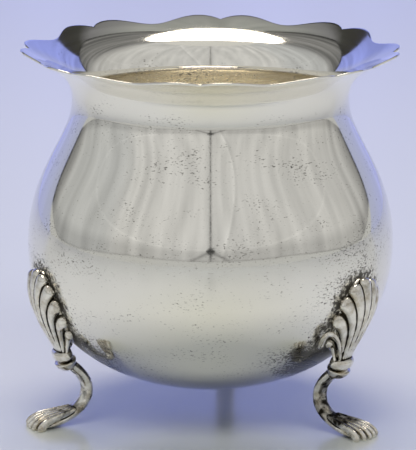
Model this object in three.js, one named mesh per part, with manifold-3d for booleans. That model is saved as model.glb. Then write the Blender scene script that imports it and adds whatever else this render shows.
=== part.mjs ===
// A small silver waste bowl for the tea table, on three shell-and-paw feet.
// Millimetres, +Z up. The origin is on the bowl's axis, on the table that it stands on.
// The bowl is round about +Z, and its three feet stand 120 degrees apart.

import * as THREE from "three";
import { mergeVertices } from "three/addons/utils/BufferGeometryUtils.js";
import Module from "manifold-3d";

const wasm = await Module();
wasm.setup();

// The gap that is left between two soldered pieces.
const clearance = 0.3;

// The bowl is one sheet: a round belly, a drawn-in neck and a flared rim.
const sheetThickness = 0.7;
const bellyRadius = 58.35;
const bellyHeight = 55.7;
const bowlBottom = 9.2;
const bellyFullness = 2.15;
const neckRadius = 44;
const neckHeight = 102;
const shoulderSwell = 23;
const shoulderDraw = 12.5;
const rimRadius = 60.4;
const rimHeight = 117.7;
const flareRise = 7.5;
const flareRun = 12.1;
const flareSlope = 20;

// The rim is trimmed to pairs of round lobes with a notch between them and a long shallow bay beside them.
const rimNotches = 8;
const notchDepth = 2.6;
const bayDepth = 4.4;
const lobeAngle = 7.1;
const rimTurn = -11.8;

// Each knee is a domed scallop shell lying on the belly, with its ribs fanned out from a hinge at the bottom.
const hingeHeight = 26.9;
const shellRise = 25;
const shellWidth = 21;
const shellDome = 2.2;
const shellBed = 1.8;
const ribsPerSide = 5;
const ribStep = 25.5;
const ribRadius = 2.6;
const ribRootRadius = 0.57;
const ribSink = 0.6;
const coreWidth = 17.6;
const umboRadius = 1.9;

// The collar is an oval bead under the hinge, and it holds the leg's peg.
const collarStand = 5.1;
const collarTilt = 23;
const collarHeight = 4;
const collarWidth = 10.4;
const collarDepth = 5.8;
const collarRounding = 1.2;
const stemWidth = 6.8;
const stemDepth = 4.4;
const stemRise = 4;
const pegRadius = 1.1;
const pegLength = 2.6;

// The leg sweeps in under the bowl, down, and out again to the ankle.
// Each pull says how far the leg holds a direction.
const flangeWidth = 9;
const flangeDepth = 5;
const flangeHeight = 0.9;
const legRadius = 2.1;
const legTopSlope = 45;
const legTopPull = 2.9;
const legInset = 7.5;
const legBendHeight = 11.2;
const legUpperPull = 5.1;
const legLowerPull = 3.8;
const ankleWidth = 5;
const ankleSlope = 20;
const anklePull = 5.4;
const instepHeight = 2.8;

// The paw's toes fan out from the ankle, arch over the knuckles and come down on the table.
const pawLength = 12;
const pawReach = 63.4;
const toes = 5;
const toeFan = 11;
const toeRadius = 1.55;
const toeRootRadius = 1.1;
const toeFlat = 0.4;
const knuckleHeight = 3.9;
const knuckleStart = 5.6;

const feet = 3;
const footTurn = 75;

// Facets: enough for the shape, and a round number of them between two feet.
const bowlSegments = 72;
const bellySteps = 8;
const shoulderSteps = 6;
const flareSteps = 6;
const rimStepsPerSide = 9;
const turnedSegments = 16;
const beadSteps = 4;
const pegSides = 12;
const ribSides = 6;
const ribRings = 8;
const coreSides = 12;
const coreRings = 6;
const stemSides = 10;
const stemRings = 6;
const legSides = 10;
const legRings = 16;
const toeSides = 8;
const toeRings = 8;

const silver = { color: 0xbdbbb0, roughness: 0.12, metalness: 1 };
const castSilver = { color: 0xb0ada2, roughness: 0.22, metalness: 1 };

// Geometry to solid and back

// Merges the shared corners and leaves out the slivers that collapse at a pole, so that the mesh is closed.
function toSolid(geometry) {
  const bare = geometry.clone();
  bare.deleteAttribute("normal");
  bare.deleteAttribute("uv");
  const merged = mergeVertices(bare);
  const index = merged.getIndex().array;
  const corners = [];
  for (let first = 0; first < index.length; first += 3) {
    const [a, b, c] = index.slice(first, first + 3);
    if (a !== b && b !== c && c !== a) {
      corners.push(a, b, c);
    }
  }
  const vertProperties = new Float32Array(merged.getAttribute("position").array);
  const triVerts = new Uint32Array(corners);
  return new wasm.Manifold(new wasm.Mesh({ numProp: 3, vertProperties, triVerts }));
}

function toGeometry(solid) {
  const mesh = solid.getMesh();
  const geometry = new THREE.BufferGeometry();
  geometry.setAttribute("position", new THREE.BufferAttribute(mesh.vertProperties, 3));
  geometry.setIndex(new THREE.BufferAttribute(mesh.triVerts, 1));
  geometry.computeVertexNormals();
  return geometry;
}

// Turns a lathe's own axis, +Y, up to +Z.
function turned(profile, segments) {
  return new THREE.LatheGeometry(profile, segments).rotateX(Math.PI / 2);
}

// The bowl's profile

function superellipsePoint(share) {
  const angle = (1 - share) * Math.PI / 2;
  const power = 2 / bellyFullness;
  const radius = bellyRadius * Math.max(Math.cos(angle), 0) ** power;
  const height = bellyHeight - (bellyHeight - bowlBottom) * Math.sin(angle) ** power;
  return new THREE.Vector2(radius, height);
}

// The outside of the sheet, from the middle of the bottom to just past the rim.
function outsideProfile() {
  const points = [new THREE.Vector2(0, bowlBottom)];
  for (let step = 1; step < bellySteps; step += 1) {
    points.push(superellipsePoint(step / bellySteps));
  }
  const shoulder = new THREE.CubicBezierCurve(
    new THREE.Vector2(bellyRadius, bellyHeight),
    new THREE.Vector2(bellyRadius, bellyHeight + shoulderSwell),
    new THREE.Vector2(neckRadius, neckHeight - shoulderDraw),
    new THREE.Vector2(neckRadius, neckHeight),
  );
  const slope = THREE.MathUtils.degToRad(flareSlope);
  const outward = new THREE.Vector2(Math.cos(slope), Math.sin(slope));
  const edge = new THREE.Vector2(rimRadius, rimHeight);
  const flare = new THREE.CubicBezierCurve(
    new THREE.Vector2(neckRadius, neckHeight),
    new THREE.Vector2(neckRadius, neckHeight + flareRise),
    edge.clone().addScaledVector(outward, -flareRun),
    edge,
  );
  points.push(...shoulder.getPoints(shoulderSteps).slice(0, -1), ...flare.getPoints(flareSteps));
  points.push(edge.clone().addScaledVector(outward, sheetThickness));
  return points;
}

// The outward direction of the profile at one of its points.
function profileNormal(points, index) {
  if (index === 0) {
    return new THREE.Vector2(0, -1);
  }
  const before = points[index - 1];
  const after = points[Math.min(index + 1, points.length - 1)];
  const along = after.clone().sub(before).normalize();
  return new THREE.Vector2(along.y, -along.x);
}

function offsetProfile(points, distance) {
  return points.map((point, index) => point.clone().addScaledVector(profileNormal(points, index), distance));
}

const outside = outsideProfile();

// The place on the outside of the bowl at a height, and the outward direction there.
function wallAt(height) {
  let index = 1;
  while (index < outside.length - 2 && outside[index].y < height) {
    index += 1;
  }
  const below = outside[index - 1];
  const above = outside[index];
  const share = (height - below.y) / (above.y - below.y);
  const normal = profileNormal(outside, index - 1).lerp(profileNormal(outside, index), share).normalize();
  return { point: below.clone().lerp(above, share), normal };
}

// The bowl

// The rim's radius at an angle from the nearest notch.
function rimRadiusAt(fromNotch) {
  const bayAngle = 180 / rimNotches;
  if (fromNotch < lobeAngle) {
    return rimRadius - notchDepth * (1 - fromNotch / lobeAngle) ** 2;
  }
  const share = (fromNotch - lobeAngle) / (bayAngle - lobeAngle);
  return rimRadius - bayDepth * (1 - Math.cos(Math.PI * share)) / 2;
}

// The sheet outside the rim's outline, which is cut away.
function rimWaste() {
  const steps = 2 * rimStepsPerSide * rimNotches;
  const halfStep = 180 / rimNotches;
  const outline = [];
  for (let step = 0; step < steps; step += 1) {
    const angle = 360 * step / steps;
    const fromNotch = Math.abs(((angle + halfStep) % (2 * halfStep)) - halfStep);
    const direction = THREE.MathUtils.degToRad(angle + rimTurn - 90);
    const radius = rimRadiusAt(fromNotch);
    outline.push(new THREE.Vector2(radius * Math.cos(direction), radius * Math.sin(direction)));
  }
  const disc = new THREE.Shape().absarc(0, 0, 2 * rimRadius, 0, 2 * Math.PI, false);
  disc.holes.push(new THREE.Path(outline.reverse()));
  const depth = 2 * (rimHeight - neckHeight);
  const geometry = new THREE.ExtrudeGeometry(disc, { depth, bevelEnabled: false });
  return geometry.translate(0, 0, neckHeight);
}

function makeBowl() {
  const inside = offsetProfile(outside, -sheetThickness).reverse();
  const wall = toSolid(turned([...outside, ...inside], bowlSegments));
  return toGeometry(wall.subtract(toSolid(rimWaste())));
}

// A bar bent along a path

// The rings of a sphere are slid along the path. The bar's half-width lies along the direction across it,
// and its half-depth lies square to both. Both halves are zero at the two ends, so the bar is closed.
function bentBar(pointAt, acrossAt, halfWidthAt, halfDepthAt, sides, rings) {
  const geometry = new THREE.SphereGeometry(1, sides, rings);
  const position = geometry.getAttribute("position");
  const corner = new THREE.Vector3();
  const nudge = 0.001;
  for (let index = 0; index < position.count; index += 1) {
    corner.fromBufferAttribute(position, index);
    const share = THREE.MathUtils.clamp((1 - corner.y) / 2, 0, 1);
    const turn = Math.atan2(corner.z, corner.x);
    const forward = pointAt(Math.min(share + nudge, 1)).sub(pointAt(Math.max(share - nudge, 0))).normalize();
    const depthway = new THREE.Vector3().crossVectors(forward, acrossAt(share)).normalize();
    const widthway = new THREE.Vector3().crossVectors(depthway, forward);
    const place = pointAt(share);
    const atPole = share < 1e-6 || share > 1 - 1e-6;
    place.addScaledVector(widthway, atPole ? 0 : halfWidthAt(share) * Math.cos(turn));
    place.addScaledVector(depthway, atPole ? 0 : halfDepthAt(share) * Math.sin(turn));
    position.setXYZ(index, place.x, place.y, place.z);
  }
  return geometry;
}

// Goes from 0 at both ends to 1 in the middle, and is round over the given shares of the length.
function roundedEnds(share, startShare, endShare) {
  const start = THREE.MathUtils.clamp((startShare - share) / startShare, 0, 1);
  const end = THREE.MathUtils.clamp((share - 1 + endShare) / endShare, 0, 1);
  return Math.sqrt(1 - start * start) * Math.sqrt(1 - end * end);
}

const sideways = new THREE.Vector3(0, 1, 0);

// The shell knee, made for a foot that points along +X

// A place over the belly: a distance to the side, a share of the shell's rise and a height off the wall.
function overBelly(side, rise, lift) {
  const { point, normal } = wallAt(hingeHeight + rise * shellRise);
  const radius = point.x + lift * normal.x;
  const angle = side / point.x;
  return new THREE.Vector3(radius * Math.cos(angle), radius * Math.sin(angle), point.y + lift * normal.y);
}

// How far the middle of a rib stands off the wall.
// It lies on the bed and swells up to the dome, less so towards the sides.
function ribLift(share, turn) {
  return Math.cos(ribSink * turn) * (shellBed + shellDome * Math.sin(Math.PI * share));
}

// One rib, from the hinge to its lobe on the shell's oval outline.
function shellRib(number) {
  const turn = THREE.MathUtils.degToRad(number * ribStep);
  const side = Math.sin(turn) * shellWidth / 2;
  const rise = (1 + Math.cos(turn)) / 2;
  const length = Math.hypot(side, rise * shellRise);
  const pointAt = (share) => overBelly(side * share, rise * share, ribLift(share, turn));
  const acrossAt = () => new THREE.Vector3(0, Math.cos(turn / 2), -Math.sin(turn / 2));
  const taper = (share) => THREE.MathUtils.lerp(ribRootRadius, ribRadius, share);
  const half = (share) => taper(share) * roundedEnds(share, ribRootRadius / length, ribRadius / length);
  return bentBar(pointAt, acrossAt, half, half, ribSides, ribRings);
}

// The dome under the ribs, which fills the shell.
function shellCore() {
  const pointAt = (share) => overBelly(0, share, 0);
  const oval = (share) => 2 * Math.sqrt(Math.max(share * (1 - share), 0));
  const halfWidth = (share) => oval(share) * coreWidth / 2;
  const halfDepth = (share) => (shellBed + shellDome) * oval(share);
  return bentBar(pointAt, () => sideways, halfWidth, halfDepth, coreSides, coreRings);
}

// The umbo is the round knob at the hinge that all the ribs spring from.
function shellUmbo() {
  const middle = overBelly(0, umboRadius / 2 / shellRise, shellBed);
  return new THREE.SphereGeometry(umboRadius, pegSides, beadSteps * 2).translate(middle.x, middle.y, middle.z);
}

// The collar's middle stands out from the hinge, square to the wall. Its axis leans out with height.
const hinge = wallAt(hingeHeight);
const collarMiddle = hinge.point.clone().addScaledVector(hinge.normal, collarStand);
const lean = THREE.MathUtils.degToRad(collarTilt);
const collarUp = new THREE.Vector2(Math.sin(lean), Math.cos(lean));
const collarFoot = collarMiddle.clone().addScaledVector(collarUp, -collarHeight / 2);

// Stands a piece that was made along +Z on a point of the collar's axis.
function onCollarAxis(geometry, fromFoot) {
  const base = collarFoot.clone().addScaledVector(collarUp, fromFoot);
  return geometry.rotateY(lean).translate(base.x, 0, base.y);
}

// A turned bead with a flat top and bottom, stretched to an oval.
function collarBead() {
  const flat = collarDepth / 2 - collarRounding;
  const outline = new THREE.Path().moveTo(0, 0).lineTo(flat, 0);
  outline.absellipse(flat, collarHeight / 2, collarRounding, collarHeight / 2, -Math.PI / 2, Math.PI / 2);
  outline.lineTo(0, collarHeight);
  const bead = turned(outline.getPoints(beadSteps), turnedSegments);
  return onCollarAxis(bead.scale(1, collarWidth / collarDepth, 1), 0);
}

// The short stem that joins the collar to the shell.
function shellStem() {
  const start = overBelly(0, stemRise / shellRise, shellBed);
  const end = new THREE.Vector3(collarMiddle.x, 0, collarMiddle.y);
  const length = start.distanceTo(end);
  const pointAt = (share) => start.clone().lerp(end, share);
  const ends = (share) => roundedEnds(share, stemDepth / 4 / length, stemDepth / 4 / length);
  const halfWidth = (share) => ends(share) * stemWidth / 2;
  const halfDepth = (share) => ends(share) * stemDepth / 2;
  return bentBar(pointAt, () => sideways, halfWidth, halfDepth, stemSides, stemRings);
}

function roundPeg(radius, length, fromFoot) {
  const peg = new THREE.CylinderGeometry(radius, radius, length, pegSides).rotateX(Math.PI / 2);
  return onCollarAxis(peg.translate(0, 0, length / 2), fromFoot);
}

function makeShellKnee() {
  let shell = toSolid(shellCore()).add(toSolid(shellUmbo()));
  shell = shell.add(toSolid(collarBead())).add(toSolid(shellStem()));
  for (let number = -ribsPerSide; number <= ribsPerSide; number += 1) {
    shell = shell.add(toSolid(shellRib(number)));
  }
  const bowlSpace = [...offsetProfile(outside, clearance), new THREE.Vector2(0, rimHeight)];
  const socketMouth = clearance;
  const socket = roundPeg(pegRadius + clearance, pegLength + clearance + socketMouth, -socketMouth);
  shell = shell.subtract(toSolid(turned(bowlSpace, bowlSegments)));
  return toGeometry(shell.subtract(toSolid(socket)));
}

// The leg, made for a foot that points along +X

const legTop = collarFoot.clone().addScaledVector(collarUp, -clearance);
const ankleReach = pawReach - pawLength;

// A point in the foot's own plane, and one that lies a pull away from another in a direction.
function inPlane(radius, height) {
  return new THREE.Vector3(radius, 0, height);
}

function pulled(from, pull, degrees) {
  const direction = THREE.MathUtils.degToRad(degrees);
  return from.clone().add(inPlane(pull * Math.cos(direction), pull * Math.sin(direction)));
}

// The leg's middle line: in and down from the flange, round the bend, and out to the ankle.
function legPath() {
  const top = inPlane(legTop.x, legTop.y);
  const bend = inPlane(legTop.x - legInset, legBendHeight);
  const ankle = inPlane(ankleReach, instepHeight);
  const path = new THREE.CurvePath();
  path.add(new THREE.CubicBezierCurve3(
    top,
    pulled(top, legTopPull, 180 + legTopSlope),
    pulled(bend, legUpperPull, 90),
    bend,
  ));
  path.add(new THREE.CubicBezierCurve3(
    bend,
    pulled(bend, legLowerPull, -90),
    pulled(ankle, anklePull, 180 - ankleSlope),
    ankle,
  ));
  return path;
}

// The leg is round, and widens sideways to the ankle over its lower half.
function legBar() {
  const path = legPath();
  const length = path.getLength();
  const ends = (share) => roundedEnds(share, legRadius / 6 / length, legRadius / length);
  const halfDepth = (share) => legRadius * ends(share);
  const lower = (share) => THREE.MathUtils.smoothstep(share, 0.5, 1);
  const halfWidth = (share) => THREE.MathUtils.lerp(legRadius, ankleWidth / 2, lower(share)) * ends(share);
  return bentBar((share) => path.getPoint(share), () => sideways, halfWidth, halfDepth, legSides, legRings);
}

function legFlange() {
  const flange = new THREE.CylinderGeometry(flangeDepth / 2, legRadius, flangeHeight, turnedSegments);
  flange.rotateX(Math.PI / 2).scale(1, flangeWidth / flangeDepth, 1).translate(0, 0, -flangeHeight / 2);
  return onCollarAxis(flange, -clearance);
}

// One toe, from inside the ankle over its knuckle to its round tip on the table.
function pawToe(number) {
  const fan = THREE.MathUtils.degToRad(number * toeFan);
  const start = ankleReach - legRadius;
  const reach = (pawReach - toeRadius - start) * Math.cos(fan);
  const line = new THREE.CubicBezierCurve(
    new THREE.Vector2(0, instepHeight),
    new THREE.Vector2(knuckleStart, knuckleHeight),
    new THREE.Vector2(reach, knuckleHeight),
    new THREE.Vector2(reach, -toeFlat),
  );
  const pointAt = (share) => {
    const spot = line.getPoint(share);
    return new THREE.Vector3(start + spot.x * Math.cos(fan), spot.x * Math.sin(fan), spot.y);
  };
  const acrossAt = () => new THREE.Vector3(-Math.sin(fan), Math.cos(fan), 0);
  const taper = (share) => THREE.MathUtils.lerp(toeRootRadius, toeRadius, share);
  const half = (share) => taper(share) * roundedEnds(share, toeRootRadius / reach, toeRadius / reach);
  return bentBar(pointAt, acrossAt, half, half, toeSides, toeRings);
}

// The space above the joint, which the top of the leg is filed off to.
function aboveJoint() {
  const space = new THREE.BoxGeometry(2 * collarWidth, 2 * collarWidth, collarHeight);
  return onCollarAxis(space.translate(0, 0, collarHeight / 2), -clearance);
}

function makeLeg() {
  const pegOverlap = flangeHeight / 2;
  const peg = roundPeg(pegRadius, pegLength + clearance + pegOverlap, -clearance - pegOverlap);
  let leg = toSolid(legBar()).add(toSolid(legFlange()));
  leg = leg.subtract(toSolid(aboveJoint())).add(toSolid(peg));
  const outermost = (toes - 1) / 2;
  for (let number = -outermost; number <= outermost; number += 1) {
    leg = leg.add(toSolid(pawToe(number)));
  }
  const tableTop = new THREE.BoxGeometry(4 * pawReach, 4 * pawReach, pawReach).translate(0, 0, -pawReach / 2);
  return toGeometry(leg.subtract(toSolid(tableTop)));
}

// Assembly

function namedMesh(name, geometry, finish) {
  const mesh = new THREE.Mesh(geometry, new THREE.MeshStandardMaterial(finish));
  mesh.name = name;
  return mesh;
}

const wasteBowl = new THREE.Group();
wasteBowl.name = "waste_bowl";
wasteBowl.add(namedMesh("bowl", makeBowl(), silver));

const shellKnee = makeShellKnee();
const leg = makeLeg();
for (let number = 1; number <= feet; number += 1) {
  const foot = new THREE.Group();
  foot.rotation.z = THREE.MathUtils.degToRad(footTurn + 360 * (number - 1) / feet);
  foot.add(namedMesh(`shell_knee_${number}`, shellKnee, castSilver));
  foot.add(namedMesh(`leg_${number}`, leg, castSilver));
  wasteBowl.add(foot);
}

export default wasteBowl;
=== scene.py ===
# %% [markdown]
# # A silver waste bowl on three shell-and-paw feet
# The bowl of a tea service that takes the dregs of the cups. It is raised from one sheet of silver, gilt inside,
# and it stands on three cast feet that are soldered to its belly. This lesson first loads the measured model,
# then makes a smooth, polished piece for each solid of it, and then sets the bowl in a plain light tent.

# %% Load the measured model
import math
from functools import partial

import bmesh
import bpy
import numpy as np
from mathutils import Matrix, Vector
from mathutils.geometry import interpolate_bezier
from mathutils.kdtree import KDTree


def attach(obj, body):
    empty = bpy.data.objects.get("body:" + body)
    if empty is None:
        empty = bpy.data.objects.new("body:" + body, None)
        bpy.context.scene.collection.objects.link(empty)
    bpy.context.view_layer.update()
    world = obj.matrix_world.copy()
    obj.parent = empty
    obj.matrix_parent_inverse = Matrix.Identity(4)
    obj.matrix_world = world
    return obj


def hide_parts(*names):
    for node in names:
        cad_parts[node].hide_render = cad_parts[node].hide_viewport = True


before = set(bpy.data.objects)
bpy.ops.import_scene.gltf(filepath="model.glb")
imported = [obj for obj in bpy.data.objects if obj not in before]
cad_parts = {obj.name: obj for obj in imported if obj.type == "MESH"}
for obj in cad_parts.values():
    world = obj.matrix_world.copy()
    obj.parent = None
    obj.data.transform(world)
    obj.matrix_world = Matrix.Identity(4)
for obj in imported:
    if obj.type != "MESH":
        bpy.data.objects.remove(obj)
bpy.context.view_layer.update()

MM = 0.001
print("nodes:", sorted(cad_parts))

# %% [markdown]
# ## Camera
# The bowl was photographed with a long lens from about 1.3 m, a little from above. A long lens keeps the near and
# the far side of the rim nearly the same size. The camera's place is worked out from the rim's notches, so the
# numbers are distances and angles, and nothing has to be fitted by eye.

# %% Camera
CAMERA_TURN = math.radians(-8.5)
CAMERA_TILT = math.radians(12.862)
CAMERA_PLACE = Vector((-0.0008, -1.2785, 0.3525))
FOCAL_PIXELS = 4101
LONG_SIDE_PIXELS = 450
SENSOR_WIDTH = 36

photo_axes = Matrix.Rotation(CAMERA_TURN, 4, "Z")
camera_data = bpy.data.cameras.new("camera")
camera_data.lens = SENSOR_WIDTH * FOCAL_PIXELS / LONG_SIDE_PIXELS
camera_data.sensor_width = SENSOR_WIDTH
camera = bpy.data.objects.new("camera", camera_data)
camera.location = photo_axes @ CAMERA_PLACE
camera.rotation_euler = (math.pi / 2 - CAMERA_TILT, 0, CAMERA_TURN)
bpy.context.scene.collection.objects.link(camera)
bpy.context.scene.camera = camera
bpy.context.scene.view_settings.view_transform = "Standard"
print("camera:", [round(value, 3) for value in camera.location], "lens", round(camera_data.lens))

# %% [markdown]
# ## The line of the wall
# Every piece of this object touches the bowl's wall, so its line comes first: a full belly, a shoulder that draws
# in to the neck, and a flare that turns out to the rim. It could be traced point by point. A superellipse and two
# Bezier curves say the same with a few sizes, in millimetres, and can be sampled as finely as a mirror finish needs.

# %% The line of the wall
BELLY_RADIUS = 58.35
BELLY_HEIGHT = 55.7
BOWL_BOTTOM = 9.2
BELLY_FULLNESS = 2.15
NECK_RADIUS = 44
NECK_HEIGHT = 102
SHOULDER_SWELL = 23
SHOULDER_DRAW = 12.5
RIM_RADIUS = 60.4
RIM_HEIGHT = 117.7
FLARE_RISE = 7.5
FLARE_RUN = 12.1
FLARE_SLOPE = math.radians(20)
BELLY_STEPS = 64
CURVE_POINTS = 32


def belly_point(share):
    angle = (1 - share) * math.pi / 2
    power = 2 / BELLY_FULLNESS
    radius = BELLY_RADIUS * max(math.cos(angle), 0) ** power
    drop = (BELLY_HEIGHT - BOWL_BOTTOM) * math.sin(angle) ** power
    return Vector((radius, 0, BELLY_HEIGHT - drop))


def curve(start, first_pull, last_pull, end, points):
    corners = [Vector((radius, 0, height)) for radius, height in (start, first_pull, last_pull, end)]
    return interpolate_bezier(*corners, points)


belly = [belly_point(step / BELLY_STEPS) for step in range(BELLY_STEPS)]
shoulder = curve((BELLY_RADIUS, BELLY_HEIGHT), (BELLY_RADIUS, BELLY_HEIGHT + SHOULDER_SWELL),
                 (NECK_RADIUS, NECK_HEIGHT - SHOULDER_DRAW), (NECK_RADIUS, NECK_HEIGHT), CURVE_POINTS)
flare_pull = (RIM_RADIUS - FLARE_RUN * math.cos(FLARE_SLOPE), RIM_HEIGHT - FLARE_RUN * math.sin(FLARE_SLOPE))
flare = curve((NECK_RADIUS, NECK_HEIGHT), (NECK_RADIUS, NECK_HEIGHT + FLARE_RISE),
              flare_pull, (RIM_RADIUS, RIM_HEIGHT), CURVE_POINTS)
wall_line = belly + shoulder[:-1] + flare
wall_radii = np.array([point.x for point in wall_line])
wall_heights = np.array([point.z for point in wall_line])
print("wall line:", len(wall_line), "points, rim", 2 * RIM_RADIUS, "mm across")

# %% [markdown]
# A piece that lies on the belly needs the wall's radius at a height, and the direction that points straight off
# the wall there. Both are read from the line, and the direction is the line's own slope turned by a right angle.

# %% A place on the wall
line_slopes = np.stack([np.gradient(wall_radii), np.gradient(wall_heights)], axis=1)
line_slopes /= np.linalg.norm(line_slopes, axis=1)[:, None]


def wall_at(height):
    radius = np.interp(height, wall_heights, wall_radii)
    off_radius = np.interp(height, wall_heights, line_slopes[:, 1])
    off_height = -np.interp(height, wall_heights, line_slopes[:, 0])
    length = np.hypot(off_radius, off_height)
    return radius, off_radius / length, off_height / length


print("wall at 50 mm:", [round(float(value), 2) for value in wall_at(50)])

# %% [markdown]
# ## Bowl
# The real bowl is hammered up from a flat disc, and then its edge is trimmed to pairs of round lobes with a notch
# between them. The line is spun round the axis. Cutting the lobes out would leave long thin faces that show in the
# polish, so the rings near the edge are slid along the flare instead: the surface stays, and only its edge moves.

# %% Spin the wall
RIM_NOTCHES = 8
NOTCH_DEPTH = 2.6
BAY_DEPTH = 4.4
LOBE_ANGLE = 7.1
RIM_TURN = -101.8
BOWL_STEPS = 360

bowl_shape = bmesh.new()
line_verts = [bowl_shape.verts.new(point) for point in wall_line]
for lower, upper in zip(line_verts, line_verts[1:]):
    bowl_shape.edges.new((lower, upper))
bmesh.ops.rotate(bowl_shape, verts=bowl_shape.verts, matrix=Matrix.Rotation(math.radians(RIM_TURN), 3, "Z"))
bmesh.ops.spin(bowl_shape, geom=bowl_shape.verts[:] + bowl_shape.edges[:], axis=(0, 0, 1), angle=2 * math.pi,
               steps=BOWL_STEPS, use_merge=True)
bmesh.ops.remove_doubles(bowl_shape, verts=bowl_shape.verts, dist=0.001)
bmesh.ops.recalc_face_normals(bowl_shape, faces=bowl_shape.faces)
widest = min(bowl_shape.faces, key=lambda face: abs(face.calc_center_median().z - BELLY_HEIGHT))
if widest.normal.dot(widest.calc_center_median().xy.to_3d()) < 0:
    bmesh.ops.reverse_faces(bowl_shape, faces=bowl_shape.faces)
print("spun wall:", len(bowl_shape.faces), "faces")

# %% Slide the edge to its lobes
FLARE_START = 50

flare_radii = np.array([point.x for point in flare])
flare_heights = np.array([point.z for point in flare])


def rim_radius_at(angle):
    bay_angle = 180 / RIM_NOTCHES
    from_notch = abs((math.degrees(angle) - RIM_TURN + bay_angle) % (2 * bay_angle) - bay_angle)
    if from_notch < LOBE_ANGLE:
        return RIM_RADIUS - NOTCH_DEPTH * (1 - from_notch / LOBE_ANGLE) ** 2
    share = (from_notch - LOBE_ANGLE) / (bay_angle - LOBE_ANGLE)
    return RIM_RADIUS - BAY_DEPTH * (1 - math.cos(math.pi * share)) / 2


for vert in bowl_shape.verts:
    radius = vert.co.xy.length
    if vert.co.z > NECK_HEIGHT and radius > FLARE_START:
        edge_radius = rim_radius_at(math.atan2(vert.co.y, vert.co.x))
        share = (radius - FLARE_START) / (RIM_RADIUS - FLARE_START)
        slid = FLARE_START + share * (edge_radius - FLARE_START)
        vert.co.xy *= slid / radius
        vert.co.z = np.interp(slid, flare_radii, flare_heights)
print("rim from", RIM_RADIUS - BAY_DEPTH, "to", RIM_RADIUS, "mm from the axis")

# %% [markdown]
# The sheet is 0.7 mm thick, and its edge is filed round. The faces point outwards, so solidify adds the thickness
# on the inside. A small bevel rounds the two edges, so the rim catches a thin bright line.

# %% Give the sheet its thickness
SHEET_THICKNESS = 0.7
EDGE_ROUNDING = 0.24
EDGE_STEEPNESS = 0.6

outer_rim = {vert for edge in bowl_shape.edges if edge.is_boundary for vert in edge.verts}
bmesh.ops.solidify(bowl_shape, geom=bowl_shape.faces[:], thickness=SHEET_THICKNESS)
edge_faces = {face for face in bowl_shape.faces
              if sum(vert in outer_rim for vert in face.verts) == 2 and len(face.verts) == 4
              and abs(face.normal.z) < EDGE_STEEPNESS and face.calc_center_median().xy.length > FLARE_START}
rim_edges = [edge for edge in bowl_shape.edges if sum(face in edge_faces for face in edge.link_faces) == 1]
bmesh.ops.bevel(bowl_shape, geom=rim_edges, offset=EDGE_ROUNDING, segments=3, profile=0.5, affect="EDGES",
                material=-1)
bmesh.ops.scale(bowl_shape, vec=(MM, MM, MM), verts=bowl_shape.verts)
print("bowl:", len(bowl_shape.faces), "faces,", len(edge_faces), "of them round the edge")

# %% [markdown]
# A finished piece is an object at the origin, with its place in its mesh. These helpers make one, give it smooth
# faces, tie it to the measured body, and let it stand for the solid of the same name.

# %% Finish a piece


def to_object(name, shape):
    mesh = bpy.data.meshes.new(name)
    shape.to_mesh(mesh)
    shape.free()
    made = bpy.data.objects.new(name, mesh)
    bpy.context.scene.collection.objects.link(made)
    return made


def finish_piece(name, shape):
    piece = to_object(name + "_skin", shape)
    piece.data.name = name
    piece.data.polygons.foreach_set("use_smooth", [True] * len(piece.data.polygons))
    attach(piece, "root")
    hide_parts(name)
    return piece


def mark_points(piece, name, values):
    layer = piece.data.attributes.new(name, "FLOAT", "POINT")
    layer.data.foreach_set("value", np.asarray(values, dtype=np.float32))


def read_all(items, name, width, kind=float):
    values = np.empty(len(items) * width, dtype=kind)
    items.foreach_get(name, values)
    return values.reshape(-1, width)


bowl = finish_piece("bowl", bowl_shape)
print("bowl:", [round(side * 1000, 1) for side in bowl.dimensions], "mm")

# %% [markdown]
# The inside is gilt up to the neck, because silver stains where tea stands in it. The gilding is a thin plating, so
# it is not a piece of its own: it is marked on the points of the mesh, where the material can read it.

# %% Mark the gilding
GILDING_LINE = 102.4
GILDING_FADE = 0.6


def smooth_share(values, start, end):
    share = np.clip((values - start) / (end - start), 0, 1)
    return share * share * (3 - 2 * share)


places = read_all(bowl.data.vertices, "co", 3) * 1000
radii = np.hypot(places[:, 0], places[:, 1])
inside = radii < np.interp(places[:, 2], wall_heights, wall_radii) - SHEET_THICKNESS / 2
gilding = inside * smooth_share(places[:, 2], GILDING_LINE + GILDING_FADE, GILDING_LINE - GILDING_FADE)
mark_points(bowl, "gilding", gilding)
print("gilt points:", int((gilding > 0.5).sum()), "of", len(places))

# %% [markdown]
# ## Casting
# The shells and the legs are cast in silver from a carved pattern, so all their forms flow into one skin. Modelling
# that skin face by face is slow work. Here each rib, toe and bead is a bar, made from a sphere whose rings are slid
# along a line, and a voxel remesh fuses the overlapping bars into one skin. A crumb of a few points can stay apart
# from it, so only the largest skin is kept. A little smoothing then rounds the sharp grooves, as the mould and years
# of polish do.

# %% Bend a bar along a line
BAR_SIDES = 32
BAR_RINGS = 48


def between(first, last, share):
    return first + (last - first) * share


def along(points, share):
    place = share * (len(points) - 1)
    index = min(int(place), len(points) - 2)
    return points[index].lerp(points[index + 1], place - index)


def bent_bar(shape, place_at, across_at, half_width, half_depth, fullness=2):
    made = bmesh.ops.create_uvsphere(shape, u_segments=BAR_SIDES, v_segments=BAR_RINGS, radius=1)
    for vert in made["verts"]:
        share = min(max((1 - vert.co.z) / 2, 0), 1)
        turn = math.atan2(vert.co.y, vert.co.x)
        ahead = place_at(min(share + 0.001, 1)) - place_at(max(share - 0.001, 0))
        depthway = ahead.cross(across_at(share)).normalized()
        widthway = depthway.cross(ahead).normalized()
        at_end = share < 1e-6 or share > 1 - 1e-6
        across, up = (math.copysign(abs(part) ** (2 / fullness), part) for part in (math.cos(turn), math.sin(turn)))
        width = 0 if at_end else half_width(share) * across
        depth = 0 if at_end else half_depth(share) * up
        vert.co = place_at(share) + widthway * width + depthway * depth


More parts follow.
